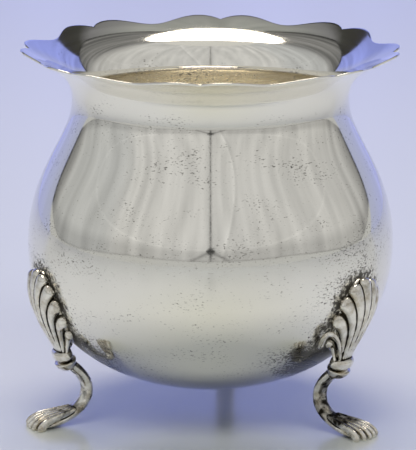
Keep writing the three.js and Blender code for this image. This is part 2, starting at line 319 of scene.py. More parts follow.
def rounded_ends(share, start_share, end_share):
    start = min(max((start_share - share) / start_share, 0), 1)
    end = min(max((share - 1 + end_share) / end_share, 0), 1)
    return math.sqrt(1 - start * start) * math.sqrt(1 - end * end)


print("a bar has", BAR_RINGS, "rings of", BAR_SIDES, "points")

# %% Fuse the bars into one skin
CAST_GRAIN = 0.156


def drop_crumbs(skin):
    unseen = set(skin.verts)
    islands = []
    while unseen:
        island = [unseen.pop()]
        for vert in island:
            fresh = {edge.other_vert(vert) for edge in vert.link_edges} & unseen
            unseen -= fresh
            island.extend(fresh)
        islands.append(island)
    islands.sort(key=len)
    for crumb in islands[:-1]:
        bmesh.ops.delete(skin, geom=crumb, context="VERTS")


def cast(shape, name, smoothing):
    bmesh.ops.recalc_face_normals(shape, faces=shape.faces)
    pattern = to_object(name + "_pattern", shape)
    fuse = pattern.modifiers.new("fuse", "REMESH")
    fuse.mode = "VOXEL"
    fuse.voxel_size = CAST_GRAIN
    fused = bpy.data.meshes.new_from_object(pattern.evaluated_get(bpy.context.evaluated_depsgraph_get()))
    bpy.data.objects.remove(pattern)
    skin = bmesh.new()
    skin.from_mesh(fused)
    drop_crumbs(skin)
    for _ in range(smoothing):
        bmesh.ops.smooth_vert(skin, verts=skin.verts, factor=0.5, use_axis_x=True, use_axis_y=True, use_axis_z=True)
    return skin


print("grain of a casting:", CAST_GRAIN, "mm")

# %% [markdown]
# ## Shell knees
# Each knee is a scallop shell that lies on the belly. Its ribs rise together from the collar, fan out and end in
# round lobes, the lowest of them curled up like buds. A rib is a flat strip with full sides, so that only a narrow
# groove is left between two of them. A flat shell could be bent afterwards. Here a place on it is given by a distance
# to the side, a share of its rise and a height off the wall, so it bends round the belly by itself. The castings were
# chased by hand, and no two are alike: on the right foot the ribs are broader, and the lowest one hooks round a bud.

# %% Ribs of the shell
HINGE_HEIGHT = 26.9
SHELL_RISE = 25
SHELL_WIDTH = 21
RIBS_PER_SIDE = 5
RIB_ROOT_RADIUS = 0.45
RIB_ROOT_STEP = 0.72
RIB_ROOT_LIFT = 5.9
RIB_TIP_LIFT = 0.7
RIB_FLATNESS = 0.72
RIB_FULLNESS = 2.4
RIB_SINK = 0.6
RIB_STEPS = 64
SHELL_BED = 1.8
SHELL_DOME = 2.2
CORE_WIDTH = 17.6
UMBO_RADIUS = 1.9


def sideways(share):
    return Vector((0, 1, 0))


def over_belly(side, rise, lift):
    height = HINGE_HEIGHT + rise * SHELL_RISE
    wall_radius, off_radius, off_height = wall_at(height)
    radius = wall_radius + lift * off_radius
    angle = side / wall_radius
    return Vector((radius * math.cos(angle), radius * math.sin(angle), height + lift * off_height))


def fan_rib(number, degrees, radius, reach=1, stand=0):
    turn = math.radians(degrees)
    curl = number / RIBS_PER_SIDE
    root = Vector((number * RIB_ROOT_STEP, 0))
    tip = Vector((math.sin(turn) * reach * SHELL_WIDTH / 2, (1 + math.cos(turn)) / 2))
    # An outer rib bows further out and up on its way to the tip.
    bend = Vector((tip.x * between(0.3, 0.55, curl), tip.y * between(0.6, 1.1, curl)))
    return (root, root.lerp(bend, 2 / 3), tip.lerp(bend, 2 / 3), tip), turn, radius, stand


def shell_rib(shape, mirror, rib):
    corners, turn, radius, stand = rib
    flat_corners = [Vector((mirror * corner.x, corner.y, 0)) for corner in corners]
    spots = interpolate_bezier(*flat_corners, RIB_STEPS + 1)
    length = sum(math.hypot(last.x - first.x, (last.y - first.y) * SHELL_RISE)
                 for first, last in zip(spots, spots[1:]))
    sunk = math.cos(RIB_SINK * turn)

    def place_at(share, more=0):
        spot = along(spots, share)
        bed = between(SHELL_BED, RIB_TIP_LIFT, share ** 2)
        lift = sunk * (bed + SHELL_DOME * math.sin(math.pi * share)) + stand * share + more
        return over_belly(spot.x, spot.y, lift + (RIB_ROOT_LIFT - sunk * SHELL_BED) * (1 - share) ** 4)

    def across_at(share):
        ahead = place_at(min(share + 0.02, 1)) - place_at(max(share - 0.02, 0))
        return ahead.cross(place_at(share, 0.1) - place_at(share))

    def half(share):
        size = between(RIB_ROOT_RADIUS, radius, share)
        return size * rounded_ends(share, RIB_ROOT_RADIUS / length, radius / length)

    bent_bar(shape, place_at, across_at, half, lambda share: RIB_FLATNESS * half(share), RIB_FULLNESS)


def shell_core(shape):
    def oval(share):
        return 2 * math.sqrt(max(share * (1 - share), 0))

    bent_bar(shape, lambda share: over_belly(0, share, 0), sideways,
             lambda share: oval(share) * CORE_WIDTH / 2, lambda share: oval(share) * (SHELL_BED + SHELL_DOME))


# The line of the hooked rib, in millimetres to the side and shares of the rise.
HOOK = [Vector(corner) for corner in ((2, 0), (8, 0.44), (16.5, 0.52), (10.8, 0.15))]
HOOK_RADIUS = 1.25
HOOK_TURN = math.radians(100)
HOOK_STAND = 0.9
BUD_RADIUS = 1.8
BUD_TURN = 128
BUD_REACH = 1.09
EVEN_RIB_TURN = 25.5
EVEN_RIB_RADIUS = 2.5
BROAD_RIB_TURN = 29
BROAD_RIB_RADIUS = 2.7

even_ribs = [fan_rib(number, EVEN_RIB_TURN * number, EVEN_RIB_RADIUS) for number in range(RIBS_PER_SIDE + 1)]
hooked_ribs = [fan_rib(number, BROAD_RIB_TURN * number, BROAD_RIB_RADIUS) for number in range(RIBS_PER_SIDE - 1)]
hooked_ribs.append((HOOK, HOOK_TURN, HOOK_RADIUS, HOOK_STAND))
hooked_ribs.append(fan_rib(RIBS_PER_SIDE, BUD_TURN, BUD_RADIUS, BUD_REACH, HOOK_STAND))
print("ribs of a shell:", 2 * RIBS_PER_SIDE + 1)

# %% Collar and stem
COLLAR_STAND = 5.1
COLLAR_TILT = math.radians(23)
COLLAR_HEIGHT = 4
COLLAR_WIDTH = 10.4
COLLAR_DEPTH = 5.8
COLLAR_ROUNDNESS = 0.5
STEM_WIDTH = 6
STEM_DEPTH = 3.4
STEM_RISE = 4

hinge_radius, hinge_off_radius, hinge_off_height = wall_at(HINGE_HEIGHT)
collar_middle = Vector((hinge_radius + COLLAR_STAND * hinge_off_radius, 0,
                        HINGE_HEIGHT + COLLAR_STAND * hinge_off_height))
collar_up = Vector((math.sin(COLLAR_TILT), 0, math.cos(COLLAR_TILT)))
collar_lean = Matrix.Rotation(COLLAR_TILT, 3, "Y")


def collar_bead(shape):
    made = bmesh.ops.create_uvsphere(shape, u_segments=48, v_segments=32, radius=1)
    for vert in made["verts"]:
        if abs(vert.co.z) > 1e-9:
            vert.co.z = math.copysign(abs(vert.co.z) ** COLLAR_ROUNDNESS, vert.co.z)
    bmesh.ops.scale(shape, verts=made["verts"], vec=(COLLAR_DEPTH / 2, COLLAR_WIDTH / 2, COLLAR_HEIGHT / 2))
    bmesh.ops.rotate(shape, verts=made["verts"], matrix=collar_lean)
    bmesh.ops.translate(shape, verts=made["verts"], vec=collar_middle)


def shell_stem(shape):
    start = over_belly(0, STEM_RISE / SHELL_RISE, SHELL_BED)
    rounding = STEM_DEPTH / 4 / (collar_middle - start).length

    def ends(share):
        return rounded_ends(share, rounding, rounding)

    bent_bar(shape, lambda share: start.lerp(collar_middle, share), sideways,
             lambda share: ends(share) * STEM_WIDTH / 2, lambda share: ends(share) * STEM_DEPTH / 2)


print("collar at", [round(value, 1) for value in collar_middle])

# %% [markdown]
# The bars reach into the bowl, where there is no room for them. The real shell is filed hollow to lie on the belly.
# So each point of the skin that lies behind the wall is pressed straight off it, until it clears the sheet.

# %% Cast a shell and press it on the belly
SOLDER_GAP = 0.12
PRESS_ROUNDS = 3


def press_on_belly(shape):
    for vert in shape.verts:
        for _ in range(PRESS_ROUNDS):
            radius = vert.co.xy.length
            wall_radius, off_radius, off_height = wall_at(vert.co.z)
            short = SOLDER_GAP - (radius - wall_radius) * off_radius
            if short > 0:
                vert.co.xy *= (radius + short * off_radius) / radius
                vert.co.z += short * off_height


def cast_shell(right_ribs, left_ribs):
    pattern = bmesh.new()
    shell_core(pattern)
    umbo = over_belly(0, UMBO_RADIUS / 2 / SHELL_RISE, SHELL_BED)
    bmesh.ops.create_icosphere(pattern, subdivisions=4, radius=UMBO_RADIUS, matrix=Matrix.Translation(umbo))
    shell_stem(pattern)
    collar_bead(pattern)
    for number in range(RIBS_PER_SIDE + 1):
        shell_rib(pattern, 1, right_ribs[number])
        shell_rib(pattern, -1, left_ribs[number])
    skin = cast(pattern, "shell_knee", smoothing=3)
    press_on_belly(skin)
    print("shell knee:", len(skin.faces), "faces")
    return skin


even_shell = cast_shell(even_ribs, even_ribs)
hooked_shell = cast_shell(even_ribs, hooked_ribs)

# %% [markdown]
# ## Legs
# A leg leaves the collar with a flared top, sweeps in under the bowl and out again to a lion's paw. A sculpted leg is
# hard to change, so this one is a bar along three Bezier curves in one plane, and the last of them widens into the
# sole. The toes are long bars that start side by side on the ankle, fan out, arch over the knuckles and come down on
# the table, where they are worn flat.

# %% Leg and its flared top
FLANGE_WIDTH = 9
FLANGE_DEPTH = 7
FLANGE_DROP = 3.4
FLANGE_NECK = 0.45
FLANGE_ROUNDING = (0.12, 0.2)
LEG_WIDTH = 6
LEG_DEPTH = 3.5
LEG_TOP_SLOPE = math.radians(45)
LEG_TOP_PULL = 2.9
LEG_INSET = 7.5
LEG_BEND_HEIGHT = 11.2
LEG_UPPER_PULL = 5.1
LEG_LOWER_PULL = 3.8
ANKLE_WIDTH = 6.4
ANKLE_SLOPE = math.radians(20)
ANKLE_PULL = 5.4
INSTEP_HEIGHT = 2.5
PAW_LENGTH = 12
PAW_REACH = 63.4
SOLE_WIDTH = 9
SOLE_DEPTH = 2.2
SOLE_HEIGHT = 1.2
SOLE_LENGTH = 8
LEG_POINTS = 40
SOLE_POINTS = 20

leg_top = collar_middle - collar_up * (COLLAR_HEIGHT / 2 + SOLDER_GAP)
leg_bend = Vector((leg_top.x - LEG_INSET, 0, LEG_BEND_HEIGHT))
ankle = Vector((PAW_REACH - PAW_LENGTH, 0, INSTEP_HEIGHT))
leg_line = interpolate_bezier(
    leg_top, leg_top - LEG_TOP_PULL * Vector((math.cos(LEG_TOP_SLOPE), 0, math.sin(LEG_TOP_SLOPE))),
    leg_bend + Vector((0, 0, LEG_UPPER_PULL)), leg_bend, LEG_POINTS)
leg_line += interpolate_bezier(
    leg_bend, leg_bend - Vector((0, 0, LEG_LOWER_PULL)),
    ankle + ANKLE_PULL * Vector((-math.cos(ANKLE_SLOPE), 0, math.sin(ANKLE_SLOPE))), ankle, LEG_POINTS)[1:]
ankle_number = len(leg_line) - 1
sole_end = Vector((ankle.x + SOLE_LENGTH, 0, SOLE_HEIGHT))
leg_line += interpolate_bezier(
    ankle, ankle + SOLE_LENGTH / 3 * Vector((math.cos(ANKLE_SLOPE), 0, -math.sin(ANKLE_SLOPE))),
    sole_end - Vector((SOLE_LENGTH / 3, 0, 0)), sole_end, SOLE_POINTS)[1:]
leg_steps = np.cumsum([0] + [(last - first).length for first, last in zip(leg_line, leg_line[1:])])
leg_length = leg_steps[-1]
ankle_share = leg_steps[ankle_number] / leg_length
leg_reach = np.array([point.x for point in leg_line])
leg_height = np.array([point.z for point in leg_line])


def leg_place(share):
    distance = share * leg_length
    return Vector((np.interp(distance, leg_steps, leg_reach), 0, np.interp(distance, leg_steps, leg_height)))


def leg_bar(shape):
    def ends(share):
        return rounded_ends(share, LEG_DEPTH / 12 / leg_length, LEG_DEPTH / 2 / leg_length)

    def half_width(share):
        at_ankle = between(LEG_WIDTH / 2, ANKLE_WIDTH / 2, smooth_share(share, 0.4, ankle_share))
        return between(at_ankle, SOLE_WIDTH / 2, smooth_share(share, ankle_share - 0.1, 1)) * ends(share)

    def half_depth(share):
        return between(LEG_DEPTH / 2, SOLE_DEPTH / 2, smooth_share(share, ankle_share, 1)) * ends(share)

    bent_bar(shape, leg_place, sideways, half_width, half_depth)


def leg_flange(shape):
    def flare(narrow, wide, share):
        return between(narrow * FLANGE_NECK, wide / 2, 1 - share ** 2) * rounded_ends(share, *FLANGE_ROUNDING)

    bent_bar(shape, lambda share: leg_top - collar_up * FLANGE_DROP * share, sideways,
             lambda share: flare(LEG_WIDTH, FLANGE_WIDTH, share), lambda share: flare(LEG_DEPTH, FLANGE_DEPTH, share))


print("leg:", round(float(leg_length), 1), "mm along its middle line")

# %% Paw
TOES = 5
TOE_STEP = 2.6
TOE_ROOT_STEP = 1.1
TOE_RADIUS = 1.5
TOE_ROOT_RADIUS = 0.9
TOE_FLATNESS = 0.52
TOE_START = 4
TOE_ROOT_LIFT = 1.4
TOE_STEPS = 32
TOE_SHORTER = 0.3
TOE_FLAT = 0.4
KNUCKLE_HEIGHT = 3.6
KNUCKLE_START = 2


def paw_toe(shape, number):
    start = Vector((ankle.x - TOE_START, 0, INSTEP_HEIGHT + TOE_START * math.tan(ANKLE_SLOPE) + TOE_ROOT_LIFT))
    reach = PAW_REACH - TOE_RADIUS - TOE_SHORTER * number ** 2
    line = interpolate_bezier(start, Vector((ankle.x + KNUCKLE_START, 0, KNUCKLE_HEIGHT)),
                              Vector((reach, 0, KNUCKLE_HEIGHT)), Vector((reach, 0, -TOE_FLAT)), TOE_STEPS + 1)

    def place_at(share):
        spot = along(line, share)
        fan = (spot.x - start.x) / (reach - start.x)
        return spot + Vector((0, number * between(TOE_ROOT_STEP, TOE_STEP, fan), 0))

    def half(share):
        size = between(TOE_ROOT_RADIUS, TOE_RADIUS, share)
        return size * rounded_ends(share, TOE_ROOT_RADIUS / PAW_LENGTH, TOE_RADIUS / PAW_LENGTH)

    bent_bar(shape, place_at, sideways, lambda share: TOE_FLATNESS * half(share), half)


def stand_on_table(shape):
    for vert in shape.verts:
        vert.co.z = max(vert.co.z, 0)


leg_pattern = bmesh.new()
leg_flange(leg_pattern)
leg_bar(leg_pattern)
for toe_number in range(-(TOES // 2), TOES // 2 + 1):
    paw_toe(leg_pattern, toe_number)
leg_skin = cast(leg_pattern, "leg", smoothing=2)
stand_on_table(leg_skin)
print("leg:", len(leg_skin.faces), "faces")

# %% [markdown]
# The skins are copied and turned to their places. Dirt and tarnish stay in the hollows of a casting. They could be
# painted in by hand. Here a hollow is found by smoothing a copy of the points: where the smoothed copy stands above
# the skin, the skin is in a hollow, and that depth in millimetres is marked. The legs also get painted shade, on the
# hollow side of the bend and on the side that faces up towards the bowl. These are too broad for the smoothing, so
# they are found by the way their points face: towards the middle of the bend, or up and towards the bowl. Just over
# the paw the leg is dull all round with tarnish, and one leg is darker than another.

# %% Depth of the hollows
HOLLOW_ROUNDS = 37


def hollow_depth(shape):
    mesh = bpy.data.meshes.new("hollows")
    shape.to_mesh(mesh)
    places = read_all(mesh.vertices, "co", 3)
    normals = read_all(mesh.vertex_normals, "vector", 3)
    first, last = read_all(mesh.edges, "vertices", 2, np.int64).T
    bpy.data.meshes.remove(mesh)
    count = len(places)
    neighbours = np.bincount(first, minlength=count) + np.bincount(last, minlength=count)
    smoothed = places.copy()
    for _ in range(HOLLOW_ROUNDS):
        sums = [np.bincount(first, smoothed[last, axis], count) + np.bincount(last, smoothed[first, axis], count)
                for axis in range(3)]
        smoothed = np.stack(sums, axis=1) / neighbours[:, None]
    return ((smoothed - places) * normals).sum(axis=1)


print("hollows: smoothed", HOLLOW_ROUNDS, "times")

# %% Place the three feet
FEET = 3
FIRST_FOOT_TURN = 75
GROOVE_DARKNESS = 1.3
FOOT_TURNS = [math.radians(FIRST_FOOT_TURN + 360 / FEET * number) for number in range(FEET)]


def place_foot(name, number, skin, depths):
    copy = skin.copy()
    copy.transform(Matrix.Rotation(FOOT_TURNS[number - 1], 4, "Z") @ Matrix.Scale(MM, 4))
    piece = finish_piece(f"{name}_{number}", copy)
    mark_points(piece, "hollows_and_shade", depths)
    print(piece.name, "hollows up to", round(float(depths.max()), 2), "mm deep")
    return piece


shell_knees = []
for number, skin in enumerate((even_shell, even_shell, hooked_shell), start=1):
    shell_knees.append(place_foot("shell_knee", number, skin, GROOVE_DARKNESS * hollow_depth(skin)))

# %% Place the legs
# How dark each leg's painted shade and tarnish are.
LEG_SHADE_AND_TARNISH = (0.05, 0.05, 0.1)
ROUND_DEPTH = -0.02
GAP_DARKNESS = 1.7
BEND_RADIUS = 8

leg_skin.normal_update()
leg_depths = np.maximum(GAP_DARKNESS * hollow_depth(leg_skin), ROUND_DEPTH)
leg_places = np.array([vert.co for vert in leg_skin.verts])
leg_normals = np.array([vert.normal for vert in leg_skin.verts])
to_middle = np.array((leg_bend.x + BEND_RADIUS, 0, LEG_BEND_HEIGHT)) - leg_places
to_middle /= np.linalg.norm(to_middle, axis=1)[:, None]
concave = (leg_normals * to_middle).sum(axis=1)
up_and_in = 0.8 * leg_normals[:, 2] - 0.6 * leg_normals[:, 0]
on_leg = smooth_share(leg_places[:, 2], 2.5, 4.5) * smooth_share(leg_places[:, 0], ankle.x + 8, ankle.x + 3)
near_paw = smooth_share(leg_places[:, 2], 12, 9)
# Painted shade on the hollow side of the bend and on the side facing up to the bowl; tarnish just over the paw.
shade_and_tarnish = np.maximum(smooth_share(concave, 0, 0.8), near_paw) * on_leg
shade_and_tarnish += smooth_share(up_and_in, 0.3, 0.8) * smooth_share(leg_places[:, 2], 5, 9)
legs = [place_foot("leg", number, leg_skin, leg_depths + leg_darkening * shade_and_tarnish)
        for number, leg_darkening in enumerate(LEG_SHADE_AND_TARNISH, start=1)]
for skin in (even_shell, hooked_shell, leg_skin):
    skin.free()

# %% [markdown]
# No polishing cloth reaches the wall close round a soldered shell, so the silver is black with tarnish there. The
# same dark band is also painted shade: the shell shades the wall there, and the wall mirrors the shell's dark edge.
# The distance from each point of the wall to the nearest point of a shell says how dark it is. It is looked up in a
# search tree.

# %% Mark the dark places round the shells
GRIME_AND_SHADE_REACH = 20
GRIME_AND_SHADE_FROM = 11
GRIME_AND_SHADE_TO = 72

shell_points = np.concatenate([read_all(piece.data.vertices, "co", 3)[::5] for piece in shell_knees])
nearest_shell = KDTree(len(shell_points))
for number, place in enumerate(shell_points):
    nearest_shell.insert(place, number)
nearest_shell.balance()
from_shell = np.full(len(places), float(GRIME_AND_SHADE_REACH))
for number in np.nonzero(~inside & (places[:, 2] > GRIME_AND_SHADE_FROM) & (places[:, 2] < GRIME_AND_SHADE_TO))[0]:
    from_shell[number] = nearest_shell.find(places[number] / 1000)[2] * 1000
mark_points(bowl, "grime_and_shade", np.clip(1 - from_shell / GRIME_AND_SHADE_REACH, 0, 1))
print("points within", GRIME_AND_SHADE_REACH, "mm of a shell:", int((from_shell < GRIME_AND_SHADE_REACH).sum()))

# %% [markdown]
# ## Materials
# Colours are written as the eye sees them, in sRGB, and turned to the linear values that a shader works with. One
# small function adds a node with its settings. Its inputs are given in order or by name: each is a value, a socket,
# or a node, whose first output is then used. For each material it is tied to that material and called add. The
# patterns lie in the object's own space, with their sizes in millimetres. Painted pictures would need each piece
# unwrapped first, and they would blur from close by.

# %% Colours and nodes


def colour(code):
    parts = [int(code[start:start + 2], 16) / 255 for start in (1, 3, 5)]
    linear = [part / 12.92 if part <= 0.04045 else ((part + 0.055) / 1.055) ** 2.4 for part in parts]
    return (*linear, 1)


def new_material(name):
    material = bpy.data.materials.new(name)
    material.use_nodes = True
    material.node_tree.nodes.clear()
    return material


def add_node(material, kind, inputs=(), **settings):
    node = material.node_tree.nodes.new("ShaderNode" + kind)
    for name, value in settings.items():
        setattr(node, name, value)
    for socket, value in inputs.items() if isinstance(inputs, dict) else enumerate(inputs):
        if isinstance(value, bpy.types.Node):
            value = next(output for output in value.outputs if output.enabled)
        if isinstance(value, bpy.types.NodeSocket):
            material.node_tree.links.new(value, node.inputs[socket])
        else:
            node.inputs[socket].default_value = value
    return node


def per_mm(size):
    return 1000 / size


SILVER = colour("#f5f3ec")
print("silver in linear values:", [round(value, 2) for value in SILVER])

# %% [markdown]
# ### Raised silver, gilt inside
# Sterling silver, hammered, planished and polished: a warm white mirror. Years of use leave faint specks in level
# drifts, a few dark pits, a faint haze with level polishing streaks, and black tarnish close round the feet, which is
# also painted shade there. Low on the belly near the feet the specks thicken into painted shade, where the belly
# mirrors the table's shadow. Inside, the fire gilding is a pale satin that has worn thin in places. Specks of 0.4 mm
# are the smallest that show, so the finer ones are left out.

# %% Where stains grow on the raised silver
raised_silver = new_material("raised_silver")
add = partial(add_node, raised_silver)
where = add("TexCoord").outputs["Object"]
height = add("SeparateXYZ", (where,)).outputs["Z"]
gilding_mark = add("Attribute", attribute_name="gilding").outputs["Fac"]
grime_and_shade_mark = add("Attribute", attribute_name="grime_and_shade").outputs["Fac"]
level = add("Mapping", {"Vector": where, "Scale": (1, 1, 2.2)})
drifts = add("TexNoise", {"Vector": level, "Scale": per_mm(17), "Detail": 3.0})
clean_rim = add("MapRange", {"Value": height, "From Min": 0.104, "From Max": 0.11, "To Max": -0.12})
stains = add("Math", (gilding_mark, 0.03, clean_rim), operation="MULTIPLY_ADD")
drifted = add("Math", (drifts, 0.5, stains), operation="MULTIPLY_ADD")
# Painted shade low on the belly near the feet: the specks grow thicker towards the bottom, where the belly mirrors
# the table's shadow.
underside_shade = add("MapRange", {"Value": height, "From Min": 0.02, "From Max": 0.034, "To Min": 0.95, "To Max": 0.1})
stains_and_shade = add("Math", (grime_and_shade_mark, underside_shade, drifted), operation="MULTIPLY_ADD")
print("growth of stains:", len(raised_silver.node_tree.nodes), "nodes")

# %% Specks, pits, grime and painted shade
specks = add("TexNoise", {"Vector": level, "Scale": per_mm(0.95)})
speck_growth = add("Math", (specks, stains_and_shade), operation="ADD")
speck_share = add("MapRange", {"Value": speck_growth, "From Min": 0.9, "From Max": 1.06, "To Max": 0.8})
pits = add("TexVoronoi", {"Vector": level, "Scale": per_mm(1.3)})
pit_chance = add("SeparateColor", (pits.outputs["Color"],)).outputs["Red"]
pit_growth = add("Math", (pit_chance, 0.45, stains_and_shade), operation="MULTIPLY_ADD")
pit_size = add("MapRange", {"Value": pit_growth, "From Min": 0.62, "From Max": 0.82, "To Max": 0.36})
pit_depth = add("Math", (pit_size, pits.outputs["Distance"]), operation="SUBTRACT")
pit_share = add("MapRange", {"Value": pit_depth, "From Max": 0.3, "To Max": 0.8})
# Close round the shells the black is tarnish and painted shade together.
grime_and_shade_patches = add("TexNoise", {"Vector": where, "Scale": per_mm(1.2)})
ragged_grime_and_shade = add("Math", (grime_and_shade_patches, 0.7, grime_and_shade_mark), operation="MULTIPLY_ADD")
grime_and_shade_share = add("MapRange", {"Value": ragged_grime_and_shade, "From Min": 1.21, "From Max": 1.31, "To Max": 0.84})
dark_share = grime_and_shade_share
for share in (pit_share, speck_share):
    dark_share = add("Math", (dark_share, share), operation="MAXIMUM")
print("stains:", len(raised_silver.node_tree.nodes), "nodes")

# %% Silver, gilding and stains
haze = add("TexNoise", {"Vector": where, "Scale": per_mm(30), "Detail": 4.0})
gilding_wear = add("MapRange", {"Value": drifts, "From Min": 0.35, "From Max": 0.65, "To Min": 1.0, "To Max": 0.75})
gilding_share = add("Math", (gilding_mark, gilding_wear), operation="MULTIPLY")
shown_colour = SILVER
for share, over in ((haze, "#ece9df"), (gilding_share, "#f7f1e0"), (dark_share, "#38332a")):
    shown_colour = add("Mix", {"Factor": share, "A": shown_colour, "B": colour(over)}, data_type="RGBA")
polishing = add("Mapping", {"Vector": where, "Scale": (1, 1, 24)})
streaks = add("TexNoise", {"Vector": polishing, "Scale": per_mm(14), "Detail": 3.0})
polish = add("MapRange", {"Value": streaks, "From Min": 0.3, "From Max": 0.7, "To Min": 0.05, "To Max": 0.1})
satin = add("Math", (gilding_mark, 0.18, polish), operation="MULTIPLY_ADD")
dull_share = add("MapRange", {"Value": grime_and_shade_mark, "From Min": 0.72, "From Max": 0.95, "To Max": 0.3})
dulled = add("Math", (satin, dull_share), operation="ADD")
silver_roughness = add("Math", (dark_share, 0.25, dulled), operation="MULTIPLY_ADD")
bare_metal = add("MapRange", {"Value": gilding_mark, "To Min": 1.0, "To Max": 0.8})
silver_shader = add(
    "BsdfPrincipled", {"Base Color": shown_colour, "Metallic": bare_metal, "Roughness": silver_roughness})
add("OutputMaterial", (silver_shader,))
bowl.data.materials.append(raised_silver)
print("raised silver:", len(raised_silver.node_tree.nodes), "nodes")

# %% [markdown]
# ### Cast silver
# The same metal, poured into a mould and polished only where a cloth reaches it. The high places are bright, the
# hollows are nearly black with tarnish, and a thin brown film lies in patches between them. On the legs that dark
# mark also carries painted shade, on the hollow side of the bend and on the side that faces the bowl.

# %% Cast silver
cast_silver = new_material("cast_silver")
add = partial(add_node, cast_silver)
where = add("TexCoord").outputs["Object"]
# On the legs this mark also holds painted shade.
hollow_and_shade_mark = add("Attribute", attribute_name="hollows_and_shade").outputs["Fac"]
stain_patches = add("TexNoise", {"Vector": where, "Scale": per_mm(2.2), "Detail": 4.0})
ragged_hollow_and_shade = add("Math", (stain_patches, 0.3, hollow_and_shade_mark), operation="MULTIPLY_ADD")
hollow_and_shade_share = add("MapRange", {"Value": ragged_hollow_and_shade, "From Min": 0.165, "From Max": 0.26})
film = add("TexNoise", {"Vector": where, "Scale": per_mm(4), "Detail": 6.0, "Roughness": 0.65})
film_share = add("MapRange", {"Value": film, "From Min": 0.42, "From Max": 0.68, "To Max": 0.85})
shown_colour = colour("#ece9e0")
for share, over in ((film_share, "#a89c84"), (hollow_and_shade_share, "#26221a")):
    shown_colour = add("Mix", {"Factor": share, "A": shown_colour, "B": colour(over)}, data_type="RGBA")
film_roughness = add(
    "MapRange", {"Value": stain_patches, "From Min": 0.3, "From Max": 0.7, "To Min": 0.1, "To Max": 0.24})
cast_roughness = add("Math", (hollow_and_shade_share, 0.3, film_roughness), operation="MULTIPLY_ADD")
cast_shader = add("BsdfPrincipled", {"Base Color": shown_colour, "Metallic": 1.0, "Roughness": cast_roughness})
add("OutputMaterial", (cast_shader,))
for piece in shell_knees + legs:
    piece.data.materials.append(cast_silver)
print("cast silver:", len(cast_silver.node_tree.nodes), "nodes")

# %% [markdown]
# ## Table
# The bowl stands on a sheet of smooth white paper. A little gloss gives it the soft sheen that a coated paper has,
# and towards its far end that sheen mirrors the lavender behind the bowl. A flat disc is all that it needs.

# %% Table
TABLE_RADIUS = 2.6

table_shape = bmesh.new()
bmesh.ops.create_circle(table_shape, cap_ends=True, segments=96, radius=TABLE_RADIUS)
table = to_object("table", table_shape)

table_paper = new_material("coated_paper")
add = partial(add_node, table_paper)
paper_shader = add("BsdfPrincipled", {"Base Color": colour("#dcdfd9"), "Roughness": 0.2, "Specular IOR Level": 0.6})
add("OutputMaterial", (paper_shader,))
table.data.materials.append(table_paper)
print("table:", 2 * TABLE_RADIUS, "m across")

# %% [markdown]
# ## Light tent
# Polished silver shows nothing but its surroundings, so silver is photographed in a tent of white cloth. The tent
# is a round wall and a ceiling. Only mirrors see them, so they stand in no camera's way and light nothing twice. In
# front the cloth hangs in folds down to its hem, with a laced seam and a knot in the middle. It ends at both sides
# with rounded lower corners, and behind the bowl the tent is open to a lavender sheet with the dark room above it.
# Cloth could be draped by a simulation, but then no fold would hang where the silver shows it. So the wall is a
# plain tube that glows, and what hangs on it is painted into that glow as light and shade, drawn by the angle from
# the seam and the height over the table.

# %% Tent wall
TENT_RADIUS = 1.03
TENT_HEIGHT = 3

tent_shape = bmesh.new()
bmesh.ops.create_cone(tent_shape, cap_ends=False, segments=128, radius1=TENT_RADIUS, radius2=TENT_RADIUS,
                      depth=TENT_HEIGHT, matrix=Matrix.Translation((0, 0, TENT_HEIGHT / 2)))
tent_wall = to_object("tent_wall", tent_shape)

tent_cloth = new_material("tent_cloth")
add = partial(add_node, tent_cloth)
where = add("TexCoord").outputs["Object"]
turned = add("Mapping", {"Vector": where, "Rotation": (0, 0, math.pi / 2 - CAMERA_TURN)})
round_wall = add("TexGradient", (turned,), gradient_type="RADIAL").outputs["Fac"]
height = add("SeparateXYZ", (turned,)).outputs["Z"]
degrees = add("MapRange", {"Value": round_wall, "To Min": -180.0, "To Max": 180.0})
from_seam = add("Math", (degrees,), operation="ABSOLUTE")
print("tent wall:", TENT_RADIUS, "m from the bowl")

# %% Folds of the cloth
CREASES_END = 130
CREASE_LEAN = 14.8
LEANING_CREASE_WIDTH = 14

fold_place = add("CombineXYZ", (degrees, height))
fold_scale = add("Mapping", {"Vector": fold_place, "Scale": (0.15, 0.9, 1)})
folds = add("TexNoise", {"Vector": fold_scale, "Scale": 1.0, "Detail": 2.5})
soft_folds = add("MapRange", {"Value": folds, "From Min": 0.3, "From Max": 0.7, "To Min": 0.5, "To Max": 0.69})
across_share = add("MapRange", {"Value": degrees, "From Min": -CREASES_END, "From Max": CREASES_END})
creases = add("ValToRGB", (across_share,))
for angle, light in ((-113, 0.84), (-105, 0.74), (-97, 0.88), (-80, 0.87), (-72, 0.93), (-59, 1.0), (-57, 1.1),
                     (-53, 0.84), (-50, 1.0), (-47, 1.16), (-43, 0.92), (-41, 0.88), (-38, 1.04), (-36, 1.1),
                     (-25, 1.02), (100, 0.96), (107, 0.88), (111, 0.66), (114, 0.86)):
    blue = 0.02 if angle < -70 else 0
    stop = creases.color_ramp.elements.new((angle + CREASES_END) / (2 * CREASES_END))
    stop.color = (light * (1 - blue), light, light * (1 + blue), 1)
leaning = add("Math", (height, -CREASE_LEAN, degrees), operation="MULTIPLY_ADD")
crease_share = add("MapRange", {"Value": leaning, "From Max": LEANING_CREASE_WIDTH})
leaning_crease = add("ValToRGB", (crease_share,))
for share, light in ((0.28, 0.97), (0.36, 1.12), (0.43, 0.72), (0.6, 0.88)):
    leaning_crease.color_ramp.elements.new(share).color = (light, light, light, 1)
for stops, light in ((creases.color_ramp.elements, 0.9), (leaning_crease.color_ramp.elements, 0.88)):
    stops[0].color = stops[-1].color = (light, light, light, 1)
print("folds:", len(creases.color_ramp.elements), "stops")

# %% Hem and its rounded corners
HEM_HEIGHT = 0.075
HEM_END_HEIGHT = 0.01
EDGE_ANGLE = 118
EDGE_LEAN = 42
EDGE_LEANS_TO = 0.95
CORNER_RISE = 0.16

